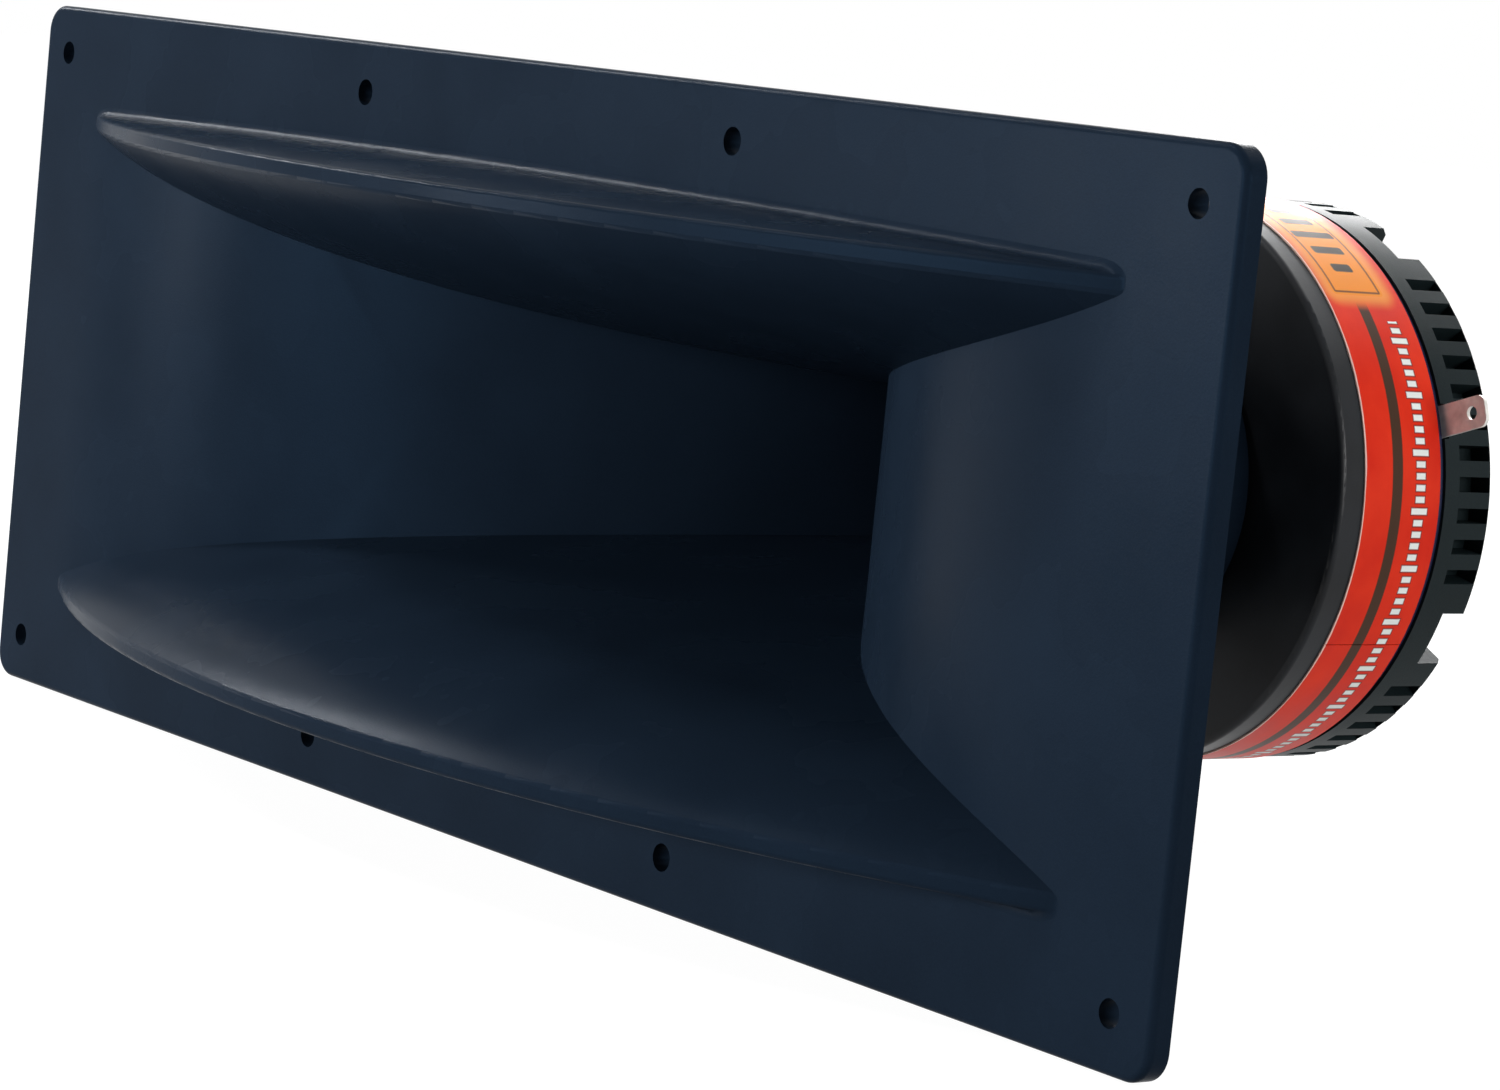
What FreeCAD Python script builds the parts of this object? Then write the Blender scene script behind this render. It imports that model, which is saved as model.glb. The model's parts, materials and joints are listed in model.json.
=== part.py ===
import FreeCAD, Part
import math
import os
import Sketcher
from FreeCAD import Placement, Rotation, Vector

# Rectangular horn flare with a screw-on compression driver.
# Frame: +X along the flange, +Z up, the mouth looks along -Y.
# Origin: centre of the flange's rear face, on the axis of the driver.

os.makedirs("parts", exist_ok=True)
doc = FreeCAD.newDocument("HornDriver")

# ---------------------------------------------------------------- driving sizes (mm, degrees)
SIZES = [
    # horn moulding
    ("flange_width", 307.4), ("flange_height", 118.6), ("flange_thickness", 3.5),
    ("flange_corner_radius", 4.5), ("flange_edge_radius", 1.0),
    ("corner_hole_margin_x", 8.1), ("corner_hole_margin_z", 8.0), ("corner_hole_diameter", 3.9),
    ("mid_hole_spacing", 97.0), ("mid_hole_diameter", 4.1),
    ("mouth_margin_x", 18.7), ("lip_margin_z", 16.6), ("lip_inset", 1.5),
    ("lip_projection", 33.0), ("lip_draft", 1.4), ("lip_land", 2.5), ("lip_edge_radius", 0.8),
    ("lip_inner_radius", 1.2), ("lip_base_radius", 1.6), ("horn_wall", 3.0),
    ("horn_depth", 112.0), ("throat_diameter", 25.4), ("wall_sweep", 76.0),
    ("throat_flare_angle", 60.0),
    ("gusset_thickness", 3.0), ("gusset_length", 52.0), ("gusset_reach", 8.0),
    ("gusset_spacing", 60.0), ("boss_diameter", 55.0), ("boss_length", 29.0),
    # screw-on joint
    ("snout_diameter", 34.6), ("snout_length", 15.5), ("socket_clearance", 0.15),
    ("socket_floor_gap", 0.5), ("gasket_thickness", 1.3), ("gasket_width", 8.0),
    ("screen_thickness", 0.4), ("screen_hole_diameter", 1.6), ("screen_hole_pitch", 2.6),
    # magnet assembly
    ("driver_diameter", 95.0), ("back_plate_thickness", 6.0), ("back_plate_edge_radius", 1.0),
    ("magnet_thickness", 11.0), ("magnet_bore", 56.0), ("top_plate_thickness", 5.0),
    ("pole_clearance", 0.5), ("pole_exit_diameter", 24.0), ("pole_waist_diameter", 19.0),
    ("pole_waist_depth", 14.0), ("plug_seat_depth", 6.0), ("plug_seat_diameter", 34.0),
    ("plug_seat_ledge", 1.5), ("plug_clearance", 0.1), ("label_thickness", 0.25),
    ("label_front", 5.0), ("label_seam", 0.2), ("label_seam_angle", -27.0),
    # diaphragm and coil
    ("former_bore", 43.8), ("former_wall", 0.2), ("coil_build", 0.4), ("coil_length", 3.4),
    ("gap_clearance", 0.5), ("dome_height", 6.0), ("dome_wall", 0.2), ("dome_air_gap", 0.8),
    ("surround_width", 4.6), ("surround_height", 1.1), ("surround_wall", 0.2),
    ("surround_land", 0.8), ("surround_slope", 0.9),
    ("carrier_ring_thickness", 1.5), ("carrier_ring_inset", 0.6), ("carrier_seat", 0.8),
    ("plug_rim", 0.5), ("plug_slot_width", 1.3), ("plug_slot_inner", 13.0),
    ("plug_slot_outer", 26.0), ("plug_spoke_angle", 16.0),
    # rear cap and terminals
    ("cap_depth", 11.5), ("cap_wall", 2.0), ("cap_cavity_diameter", 68.0), ("cap_edge_radius", 1.2),
    ("fin_slot_start", 3.2), ("fin_slot_depth", 4.5), ("fin_slot_width", 2.5), ("fin_end_wall", 1.0),
    ("fin_pitch", 6.2), ("fins_per_group", 11), ("fin_groups", 4),
    ("pocket_floor", 5.5), ("pocket_width", 10.0), ("pocket_depth", 9.4),
    ("cap_screw_inset", 4.7), ("cap_screw_diameter", 3.8), ("cap_screw_head", 6.8),
    ("cap_screw_head_height", 2.4), ("cap_screw_grip", 3.5), ("screw_clearance", 0.3),
    ("screw_drive_width", 1.0), ("screw_drive_length", 4.2), ("screw_drive_depth", 1.3),
    ("pin_diameter", 2.5), ("pin_inset", 16.0), ("pin_length", 4.0), ("pin_angle", 64.0),
    ("terminal_angle", 19.0), ("tab_width", 5.2), ("tab_thickness", 0.7), ("tab_reach", 9.5),
    ("tab_inner_radius", 29.5), ("tab_hole_diameter", 2.2), ("tab_hole_edge", 3.0),
    ("tab_slot_clearance", 0.3), ("rivet_diameter", 1.8), ("rivet_head", 3.2),
    ("rivet_head_height", 0.6), ("rivet_inset", 2.8),
    ("lead_width", 1.5), ("lead_thickness", 0.2), ("lead_foot", 1.0), ("lead_rise", 1.2),
    ("lead_gap", 0.5), ("foam_thickness", 2.0), ("foam_diameter", 40.0),
]

sheet = doc.addObject("Spreadsheet::Sheet", "Sizes")
for row, (alias, number) in enumerate(SIZES, start=1):
    sheet.set("A%d" % row, alias)
    sheet.set("B%d" % row, str(number))
    sheet.setAlias("B%d" % row, alias)
doc.recompute()


def cell(name):
    """Expression text for one size of the sheet."""
    return "Sizes." + name


def number(expression):
    """Present value of an expression over the sheet."""
    result = sheet.evalExpression(expression)
    return float(getattr(result, "Value", result))


# ---------------------------------------------------------------- shared expressions
HALF_X = "Sizes.flange_width / 2"
HALF_Z = "Sizes.flange_height / 2"
MOUTH_X = "(Sizes.flange_width / 2 - Sizes.mouth_margin_x)"
LIP_Z = "(Sizes.flange_height / 2 - Sizes.lip_margin_z)"
THROAT_R = "(Sizes.throat_diameter / 2)"
THROAT_Y = "(Sizes.horn_depth - Sizes.flange_thickness)"
BOSS_END = "(%s + Sizes.snout_length + Sizes.socket_floor_gap - Sizes.gasket_thickness)" % THROAT_Y
DRIVER_Y = "(%s + Sizes.gasket_thickness)" % BOSS_END
DRIVER_R = "(Sizes.driver_diameter / 2)"
MAGNET_Y = "(%s + Sizes.back_plate_thickness)" % DRIVER_Y
PLATE_Y = "(%s + Sizes.magnet_thickness)" % MAGNET_Y
CARRIER_Y = "(%s + Sizes.top_plate_thickness)" % PLATE_Y
CAP_Y = "(%s + Sizes.carrier_ring_thickness)" % CARRIER_Y
SNOUT_R = "(Sizes.snout_diameter / 2)"
POLE_R = "(Sizes.former_bore / 2 - Sizes.pole_clearance)"
POLE_LENGTH = "(Sizes.magnet_thickness + Sizes.top_plate_thickness)"
FORMER_R = "(Sizes.former_bore / 2)"
FORMER_OUT = "(%s + Sizes.former_wall)" % FORMER_R
COIL_OUT = "(%s + Sizes.coil_build)" % FORMER_OUT
GAP_R = "(%s + Sizes.gap_clearance)" % COIL_OUT
SURROUND_OUT = "(%s + Sizes.surround_width)" % FORMER_OUT
CARRIER_BORE = "(%s - Sizes.carrier_seat)" % SURROUND_OUT
CAVITY_R = "(Sizes.cap_cavity_diameter / 2)"
PIN_R = "(%s - Sizes.pin_inset)" % DRIVER_R
SCREW_R = "(%s - Sizes.cap_screw_inset)" % DRIVER_R
HALF_TAB = "(Sizes.tab_width / 2)"
TAB_END = "(%s + Sizes.tab_reach)" % DRIVER_R
OUTSIDE = TAB_END  # further out than every piece of the driver
FIN_GROUP_STEP = "(360 / Sizes.fin_groups)"


# ---------------------------------------------------------------- helpers
def bind(item, **expressions):
    """Tie properties of an object to expressions; __ in a name stands for a dot."""
    for name, expression in expressions.items():
        item.setExpression(name.replace("__", "."), expression)
    return item


def add(kind, name, **expressions):
    """New object of a kind, with its properties tied to expressions."""
    return bind(doc.addObject(kind, name), **expressions)


def new_body(label, y="0"):
    """A body whose local origin sits on the axis, at distance y along it."""
    body = doc.addObject("PartDesign::Body", label)
    body.Label = label
    body.setExpression("Placement.Base.y", y)
    return body


def origin_item(body, role):
    return next(item for item in body.Origin.OriginFeatures if item.Role == role)


def new_sketch(body, name, role):
    sketch = body.newObject("Sketcher::SketchObject", name)
    sketch.AttachmentSupport = [(origin_item(body, role), "")]
    sketch.MapMode = "FlatFace"
    return sketch


def pin_point(sketch, line, end, expression, kind):
    """Fix one coordinate of a point, from the axis (kind DistanceX) or the base (DistanceY)."""
    value = number(expression)
    if abs(value) < 1e-9:
        axis = -2 if kind == "DistanceX" else -1
        sketch.addConstraint(Sketcher.Constraint("PointOnObject", line, end, axis))
        return
    index = sketch.addConstraint(Sketcher.Constraint(kind, -1, 1, line, end, value))
    sketch.setExpression("Constraints[%d]" % index, expression)


def outline(sketch, corners):
    """Closed outline of straight lines; each corner is a pair of expressions."""
    points = [Vector(number(across), number(along), 0) for across, along in corners]
    count = len(points)
    first = sketch.GeometryCount
    for index in range(count):
        sketch.addGeometry(Part.LineSegment(points[index], points[(index + 1) % count]), False)
    for index in range(count):
        following = first + (index + 1) % count
        sketch.addConstraint(Sketcher.Constraint("Coincident", first + index, 2, following, 1))
    for index, (across, along) in enumerate(corners):
        pin_point(sketch, first + index, 1, across, "DistanceX")
        pin_point(sketch, first + index, 1, along, "DistanceY")


def hole_circle(sketch, across, up, diameter):
    """A circle whose centre and diameter are expressions."""
    centre = Vector(number(across), number(up), 0)
    index = sketch.addGeometry(Part.Circle(centre, Vector(0, 0, 1), number(diameter) / 2), False)
    pin_point(sketch, index, 3, across, "DistanceX")
    pin_point(sketch, index, 3, up, "DistanceY")
    size = sketch.addConstraint(Sketcher.Constraint("Diameter", index, number(diameter)))
    sketch.setExpression("Constraints[%d]" % size, diameter)


def turned(body, name, corners):
    """Solid of revolution about the driver axis; corners are (radius, distance) pairs."""
    sketch = new_sketch(body, name + "_profile", "XY_Plane")
    outline(sketch, corners)
    turn = body.newObject("PartDesign::Revolution", name)
    turn.Profile = sketch
    turn.ReferenceAxis = (sketch, ["V_Axis"])
    turn.Angle = 360
    doc.recompute()
    return turn


def washer(body, name, bore_radius, radius, thickness):
    return turned(body, name, [(bore_radius, "0"), (radius, "0"), (radius, thickness),
                               (bore_radius, thickness)])


def bored(body, name, circles, start="0"):
    """Through holes along +Y from the plane at distance start."""
    before = body.Shape.Volume
    sketch = new_sketch(body, name + "_sketch", "XZ_Plane")
    sketch.setExpression("AttachmentOffset.Base.z", "-(%s)" % start)
    for across, up, diameter in circles:
        hole_circle(sketch, across, up, diameter)
    cut = body.newObject("PartDesign::Pocket", name)
    cut.Profile = sketch
    cut.Type = "ThroughAll"
    doc.recompute()
    assert cut.Shape.Volume < before - 1e-3, name + " cuts nothing"
    return cut


def on_axis(item, y):
    """Turn a primitive's own +Z onto the driver axis and set it at distance y."""
    item.Placement = Placement(Vector(0, 0, 0), Rotation(Vector(1, 0, 0), -90))
    item.setExpression("Placement.Base.y", y)
    return item


def joined(kind, name, **links):
    """New object of a kind, with its links and plain properties set."""
    item = doc.addObject(kind, name)
    for link, value in links.items():
        setattr(item, link, value)
    return item


def angled(radius, angle):
    """Pair of expressions for a point at a radius and an angle in the plane across the axis."""
    return "%s * cos(%s * 1deg)" % (radius, angle), "%s * sin(%s * 1deg)" % (radius, angle)


# ---------------------------------------------------------------- horn: the flange plate
def build_flange():
    body = new_body("flange_plate")
    sketch = new_sketch(body, "flange_outline", "XZ_Plane")
    corners = [(HALF_X, HALF_Z), ("-" + HALF_X, HALF_Z), ("-" + HALF_X, "-" + HALF_Z),
               (HALF_X, "-" + HALF_Z)]
    outline(sketch, corners)
    plate = body.newObject("PartDesign::Pad", "plate")
    plate.Profile = sketch
    plate.setExpression("Length", cell("flange_thickness"))
    doc.recompute()
    uprights = ["Edge%d" % (index + 1) for index, edge in enumerate(plate.Shape.Edges)
                if abs(edge.tangentAt(edge.FirstParameter).y) > 0.9]
    rounded = body.newObject("PartDesign::Fillet", "rounded_corners")
    rounded.Base = (plate, uprights)
    rounded.setExpression("Radius", cell("flange_corner_radius"))
    doc.recompute()
    front = -number(cell("flange_thickness"))
    rim = ["Edge%d" % (index + 1) for index, edge in enumerate(rounded.Shape.Edges)
           if abs(edge.BoundBox.YMax - front) < 1e-6]
    eased = body.newObject("PartDesign::Fillet", "eased_front")
    eased.Base = (rounded, rim)
    eased.setExpression("Radius", cell("flange_edge_radius"))
    doc.recompute()
    corner_x = "(%s - Sizes.corner_hole_margin_x)" % HALF_X
    row_z = "(%s - Sizes.corner_hole_margin_z)" % HALF_Z
    circles = []
    for side_x in ("", "-"):
        for side_z in ("", "-"):
            circles.append((side_x + corner_x, side_z + row_z, cell("corner_hole_diameter")))
            circles.append((side_x + "(Sizes.mid_hole_spacing / 2)", side_z + row_z,
                            cell("mid_hole_diameter")))
    bored(body, "fixing_holes", circles, "-" + cell("flange_thickness"))
    return body


# ---------------------------------------------------------------- horn: the flare
# Side walls: quarter ellipses in plan, tangent to the flange's face and to the throat's bore.
# Top and bottom walls: elliptical arcs turned about a vertical line behind the flange, so the
# front edge of each lip is one circular arc in plan.
half_mouth = number(MOUTH_X)
throat_radius = number(THROAT_R)
throat_y = number(THROAT_Y)
front_y = -number(cell("flange_thickness"))
wall = number(cell("horn_wall"))
half_lip = half_mouth - number(cell("lip_inset"))
lip_projection = number(cell("lip_projection"))
lip_radius = (half_lip ** 2 + lip_projection ** 2) / (2 * lip_projection)
turning_y = front_y - lip_projection + lip_radius
throat_turn = turning_y - throat_y
lip_outside = number(LIP_Z) - number(cell("lip_draft"))
lip_inside = lip_outside - number(cell("lip_land"))
sweep = math.radians(number(cell("wall_sweep")))
run = (lip_radius - throat_turn) / math.sin(sweep)
rise = (lip_inside - throat_radius) / (1 - math.cos(sweep))
ahead_of_lips = 2 * wall


def ellipse_on(centre, first, second):
    """The ellipse whose half axes end at the two points."""
    first_is_long = first.distanceToPoint(centre) >= second.distanceToPoint(centre)
    major, minor = (first, second) if first_is_long else (second, first)
    return Part.Ellipse(major, minor, centre)


def arc_between(ellipse, start, end):
    """The shorter arc of an ellipse between two of its points."""
    low, high = sorted((ellipse.parameter(start), ellipse.parameter(end)))
    if high - low > math.pi:
        low, high = high, low + 2 * math.pi
    return Part.ArcOfEllipse(ellipse, low, high).toShape()


def plan_region(name, inset):
    """Plan of the side walls, as an extrusion; inset 0 is the air, one wall is the outside."""
    span_x = half_mouth - throat_radius - inset
    span_y = throat_y - front_y - inset
    shoulder = front_y + inset
    far_y = front_y - lip_projection - ahead_of_lips
    edges = []
    for side in (1, -1):
        centre = Vector(side * half_mouth, throat_y, 0)
        throat_end = Vector(centre.x - side * span_x, throat_y, 0)
        mouth_end = Vector(centre.x, throat_y - span_y, 0)
        edges.append(arc_between(ellipse_on(centre, throat_end, mouth_end), throat_end, mouth_end))
    near = throat_radius + inset
    points = [(-half_mouth, shoulder), (-half_mouth, far_y), (half_mouth, far_y),
              (half_mouth, shoulder)]
    for start, end in zip(points, points[1:]):
        edges.append(Part.makeLine(Vector(*start, 0), Vector(*end, 0)))
    edges.append(Part.makeLine(Vector(near, throat_y, 0), Vector(-near, throat_y, 0)))
    face = doc.addObject("Part::Feature", name + "_plan")
    face.Shape = Part.Face(Part.Wire(Part.__sortEdges__(edges)))
    solid = joined("Part::Extrusion", name, Base=face, Dir=Vector(0, 0, 1), Solid=True,
                   Symmetric=True, DirMode="Custom")
    solid.setExpression("LengthFwd", cell("flange_height"))
    return solid


def section_point(radius, height):
    """Point of the centre plane at a distance from the turning line."""
    return Vector(0, turning_y - radius, height)


def wall_arc(inset, end):
    """Arc of the top wall from the throat to the angle end, moved outwards by inset."""
    centre = section_point(throat_turn, throat_radius + rise)
    foot = section_point(throat_turn, centre.z - (rise - inset))
    tip = section_point(throat_turn + run - inset, centre.z)
    stop = section_point(throat_turn + (run - inset) * math.sin(end),
                         centre.z - (rise - inset) * math.cos(end))
    return arc_between(ellipse_on(centre, foot, tip), foot, stop), stop


def revolved(name, edges):
    """Turn a closed outline in the centre plane about the vertical turning line."""
    face = doc.addObject("Part::Feature", name + "_section")
    face.Shape = Part.Face(Part.Wire(Part.__sortEdges__(edges)))
    half_angle = math.degrees(math.asin(half_mouth / lip_radius)) + 3
    return joined("Part::Revolution", name, Source=face, Axis=Vector(0, 0, 1),
                  Base=Vector(0, turning_y, 0), Angle=2 * half_angle, Symmetric=True, Solid=True)


def section_lines(points):
    return [Part.makeLine(start, end) for start, end in zip(points, points[1:])]


def mirrored_below(edges):
    flipped = [edge.mirror(Vector(0, 0, 0), Vector(0, 0, 1)) for edge in edges]
    return edges + flipped


def air_between_walls():
    """Height of the air passage; its walls round outwards where they reach the lips."""
    ease = number(cell("lip_inner_radius"))
    crest_slope = math.atan2(rise * math.sin(sweep), run * math.cos(sweep))
    start_r = lip_radius - ease * (1 - math.sin(crest_slope))
    angle = math.asin((start_r - throat_turn) / run)
    arc, start = wall_arc(0, angle)
    slope = math.atan2(rise * math.sin(angle), run * math.cos(angle))
    centre = Vector(0, start.y + ease * math.sin(slope), start.z + ease * math.cos(slope))
    middle_slope = (slope + math.pi / 2) / 2
    middle = centre + Vector(0, -ease * math.sin(middle_slope), -ease * math.cos(middle_slope))
    end = centre + Vector(0, -ease, 0)
    outside = section_point(lip_radius + ahead_of_lips, end.z)
    upper = [arc, Part.Arc(start, middle, end).toShape(), Part.makeLine(end, outside)]
    mouth_side = [outside, Vector(0, outside.y, -outside.z)]
    throat_side = [section_point(throat_turn, throat_radius),
                   section_point(throat_turn, -throat_radius)]
    return revolved("air_height", mirrored_below(upper) + section_lines(mouth_side)
                    + section_lines(throat_side))


def walls_outside():
    """Height of the flare's outside: one wall beyond the air."""
    arc, stop = wall_arc(wall, sweep)
    heel = throat_radius + wall
    mouth_side = [stop, Vector(0, stop.y, -stop.z)]
    throat_side = [section_point(throat_turn, heel), section_point(throat_turn, -heel)]
    return revolved("walls_height", mirrored_below([arc]) + section_lines(mouth_side)
                    + section_lines(throat_side))


def lip_block():
    """Outside of both lips: drafted faces, with the front corners rounded."""
    corner = number(cell("lip_edge_radius"))
    base = number(LIP_Z)
    base_r = turning_y - front_y
    slope = (base - lip_outside) / (lip_radius - base_r)
    inner_r = turning_y
    root = base + slope * (base_r - inner_r)
    bend = section_point(lip_radius - corner, lip_outside + slope * corner)
    nose = section_point(lip_radius, lip_outside - corner)
    half = corner * (1 - math.sqrt(0.5))
    middle = section_point(lip_radius - half, lip_outside - half + slope * corner / 2)
    arc = Part.Arc(bend, middle, nose).toShape()
    side = section_lines([section_point(inner_r, root), bend])
    front = section_lines([nose, section_point(lip_radius, -nose.z)])
    back = section_lines([section_point(inner_r, root), section_point(inner_r, -root)])
    return revolved("lip_outside", mirrored_below(side + [arc]) + front + back)


def lip_hollow():
    """Space behind each lip, open to the rear of the flange."""
    base = number(LIP_Z)
    base_r = turning_y - front_y
    slope = (base - lip_outside) / (lip_radius - base_r)
    outer_r = lip_radius - wall
    inner_r = turning_y - wall
    top = base - wall
    root = top + slope * (base_r - inner_r)
    tip = top - slope * (outer_r - base_r)
    points = [section_point(inner_r, root), section_point(outer_r, tip),
              section_point(outer_r, -tip), section_point(inner_r, -root),
              section_point(inner_r, root)]
    return revolved("lip_hollow", section_lines(points))


def half_space(name, front, back):
    """Block across the whole flange between two distances along Y."""
    block = add("Part::Box", name, Length=cell("flange_width"), Width="%s - (%s)" % (back, front),
                Height=cell("flange_height"))
    return bind(block, Placement__Base__x="-" + HALF_X, Placement__Base__y=front,
                Placement__Base__z="-" + HALF_Z)


def build_gussets():
    """Four upright webs between the back of the flange and the flare."""
    webs = []
    for side_x in (1, -1):
        web = doc.addObject("Part::Feature", "gusset_%s" % ("right" if side_x > 0 else "left"))
        half = number(cell("gusset_thickness")) / 2
        place = side_x * number(cell("gusset_spacing")) / 2
        tall = number(LIP_Z) + number(cell("gusset_reach"))
        length = number(cell("gusset_length"))
        points = [Vector(place - half, front_y / 2, tall), Vector(place - half, 0, tall),
                  Vector(place - half, length, throat_radius),
                  Vector(place - half, length, -throat_radius),
                  Vector(place - half, 0, -tall), Vector(place - half, front_y / 2, -tall),
                  Vector(place - half, front_y / 2, tall)]
        face = Part.Face(Part.makePolygon(points))
        web.Shape = face.extrude(Vector(2 * half, 0, 0))
        webs.append(web)
    return webs


def build_horn():
    flange = build_flange()
    lips = joined("Part::Common", "lips_in_front", Base=lip_block(),
                  Tool=half_space("front_zone", "-Sizes.lip_projection * 2", "-Sizes.flange_thickness / 2"))
    plate_with_lips = joined("Part::Fuse", "plate_with_lips", Base=flange, Tool=lips)
    doc.recompute()
    crease = [index + 1 for index, edge in enumerate(plate_with_lips.Shape.Edges)
              if abs(edge.BoundBox.YMin - front_y) < 1e-4 and abs(edge.BoundBox.YMax - front_y) < 1e-4
              and abs(edge.BoundBox.Center.z) > lip_inside and edge.Length > half_mouth
              and edge.BoundBox.ZMax < number(HALF_Z) - 3]
    eased = doc.addObject("Part::Fillet", "eased_lips")
    eased.Base = plate_with_lips
    radius = number(cell("lip_base_radius"))
    eased.Edges = [(index, radius, radius) for index in crease]
    opened = joined("Part::Cut", "opened_lips", Base=eased,
                    Tool=joined("Part::Common", "hollow_zone", Base=lip_hollow(),
                                Tool=half_space("hollow_range", "-Sizes.lip_projection * 2",
                                                "Sizes.horn_wall * 2")))
    shell = joined("Part::Common", "flare_outside", Base=plan_region("plan_outside", wall),
                   Tool=walls_outside())
    boss = on_axis(add("Part::Cylinder", "boss", Radius="Sizes.boss_diameter / 2",
                       Height=cell("boss_length")), "%s - Sizes.boss_length" % BOSS_END)
    webs = build_gussets()
    added = doc.addObject("Part::MultiFuse", "horn_solid")
    added.Shapes = [opened, shell, boss] + webs
    passage = joined("Part::Common", "passage", Base=plan_region("plan_air", 0),
                     Tool=air_between_walls())
    cone_length = cell("horn_depth") + " + " + cell("lip_projection") + " * 2"
    mouthward = on_axis(add("Part::Cone", "throat_rounding", Height=cone_length, Radius2=THROAT_R,
                            Radius1="%s + (%s) * tan(Sizes.throat_flare_angle * 1deg)"
                            % (THROAT_R, cone_length)), "%s - (%s)" % (THROAT_Y, cone_length))
    air = joined("Part::Common", "air", Base=passage, Tool=mouthward)
    socket = on_axis(add("Part::Cylinder", "socket", Radius=SNOUT_R + " + Sizes.socket_clearance",
                         Height="2 * Sizes.snout_length"), THROAT_Y)
    removed = joined("Part::Fuse", "air_and_socket", Base=air, Tool=socket)
    horn = joined("Part::Cut", "horn_flare", Base=added, Tool=removed)
    horn.Label = "horn_flare"
    return horn


# ---------------------------------------------------------------- screw-on joint
def build_snout():
    body = new_body("threaded_snout", "%s + Sizes.socket_floor_gap" % THROAT_Y)
    washer(body, "snout_tube", THROAT_R, SNOUT_R, cell("snout_length"))
    return body


def build_gasket():
    body = new_body("mounting_gasket", BOSS_END)
    inner = SNOUT_R + " + Sizes.socket_clearance"
    washer(body, "gasket_ring", inner, "%s + Sizes.gasket_width" % inner, cell("gasket_thickness"))
    return body


def build_screen():
    """Perforated dust screen across the throat, behind the snout's far end."""
    body = new_body("dust_screen", "%s - Sizes.screen_thickness" % DRIVER_Y)
    turned(body, "screen_disc", [("0", "0"), (THROAT_R, "0"), (THROAT_R, cell("screen_thickness")),
                                 ("0", cell("screen_thickness"))])
    pitch = number(cell("screen_hole_pitch"))
    rings = int((throat_radius - pitch) / pitch)
    circles = [("0", "0", cell("screen_hole_diameter"))]
    for ring in range(1, rings + 1):
        for step in range(6 * ring):
            angle = "%.6f" % (60.0 * step / ring)
            across, up = angled("(%d * Sizes.screen_hole_pitch)" % ring, angle)
            circles.append((across, up, cell("screen_hole_diameter")))
    bored(body, "screen_holes", circles)
    return body


# ---------------------------------------------------------------- magnet assembly
def build_back_plate():
    body = new_body("back_plate", DRIVER_Y)
    bore = "Sizes.pole_exit_diameter / 2"
    ring = washer(body, "plate_ring", bore, DRIVER_R, cell("back_plate_thickness"))
    rim = ["Edge%d" % (index + 1) for index, edge in enumerate(ring.Shape.Edges)
           if edge.BoundBox.YMax < 1e-6 and edge.BoundBox.XMax > number(DRIVER_R) - 1e-3]
    eased = body.newObject("PartDesign::Fillet", "rounded_rim")
    eased.Base = (ring, rim)
    eased.setExpression("Radius", cell("back_plate_edge_radius"))
    doc.recompute()
    return body


def build_pole():
    """Pole piece: its bore narrows from the exit to a waist, then opens to the plug's seat."""
    body = new_body("pole_piece", MAGNET_Y)
    exit_r = "Sizes.pole_exit_diameter / 2"
    waist_r = "Sizes.pole_waist_diameter / 2"
    seat_r = "Sizes.plug_seat_diameter / 2"
    waist_y = "Sizes.pole_waist_depth - Sizes.back_plate_thickness"
    seat_y = "%s - Sizes.plug_seat_depth" % POLE_LENGTH
    mouth_r = "Sizes.plug_seat_diameter / 2 - Sizes.plug_seat_ledge"
    turned(body, "pole_solid", [(exit_r, "0"), (POLE_R, "0"), (POLE_R, POLE_LENGTH),
                                (seat_r, POLE_LENGTH), (seat_r, seat_y), (mouth_r, seat_y),
                                (waist_r, waist_y)])
    return body


def build_magnet():
    body = new_body("magnet_ring", MAGNET_Y)
    washer(body, "ferrite", "Sizes.magnet_bore / 2", DRIVER_R, cell("magnet_thickness"))
    return body


def screw_places():
    """Angles of the cap screws: halfway between the groups of fins."""
    groups = int(number(cell("fin_groups")))
    return ["(Sizes.terminal_angle + (%d + 0.5) * %s)" % (index, FIN_GROUP_STEP)
            for index in range(groups)]


def pin_places():
    return ["(Sizes.terminal_angle + Sizes.pin_angle + %d)" % turn for turn in (0, 180)]


def build_top_plate():
    body = new_body("top_plate", PLATE_Y)
    washer(body, "plate_blank", GAP_R, DRIVER_R, cell("top_plate_thickness"))
    circles = [angled(SCREW_R, angle) + (cell("cap_screw_diameter"),) for angle in screw_places()]
    circles += [angled(PIN_R, angle) + (cell("pin_diameter"),) for angle in pin_places()]
    bored(body, "tapped_holes", circles)
    return body


def build_label():
    """Printed band around the magnet; its two ends meet at a seam."""
    body = new_body("label_band", "%s + Sizes.label_front" % DRIVER_Y)
    length = "%s - %s - Sizes.label_front" % (CARRIER_Y, DRIVER_Y)
    band = washer(body, "band", DRIVER_R, DRIVER_R + " + Sizes.label_thickness", length)
    seam = new_sketch(body, "seam_outline", "XZ_Plane")
    half = "Sizes.label_seam / 2"
    outline(seam, [(DRIVER_R + " - Sizes.label_thickness", half), (OUTSIDE, half),
                   (OUTSIDE, "-" + half), (DRIVER_R + " - Sizes.label_thickness", "-" + half)])
    cut = body.newObject("PartDesign::Pocket", "seam")
    cut.Profile = seam
    cut.Type = "ThroughAll"
    doc.recompute()
    assert cut.Shape.Volume < band.Shape.Volume, "the seam cuts nothing"
    body.Placement = Placement(Vector(0, 0, 0),
                               Rotation(Vector(0, 1, 0), -number(cell("label_seam_angle"))))
    body.setExpression("Placement.Base.y", "%s + Sizes.label_front" % DRIVER_Y)
    return body


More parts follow.
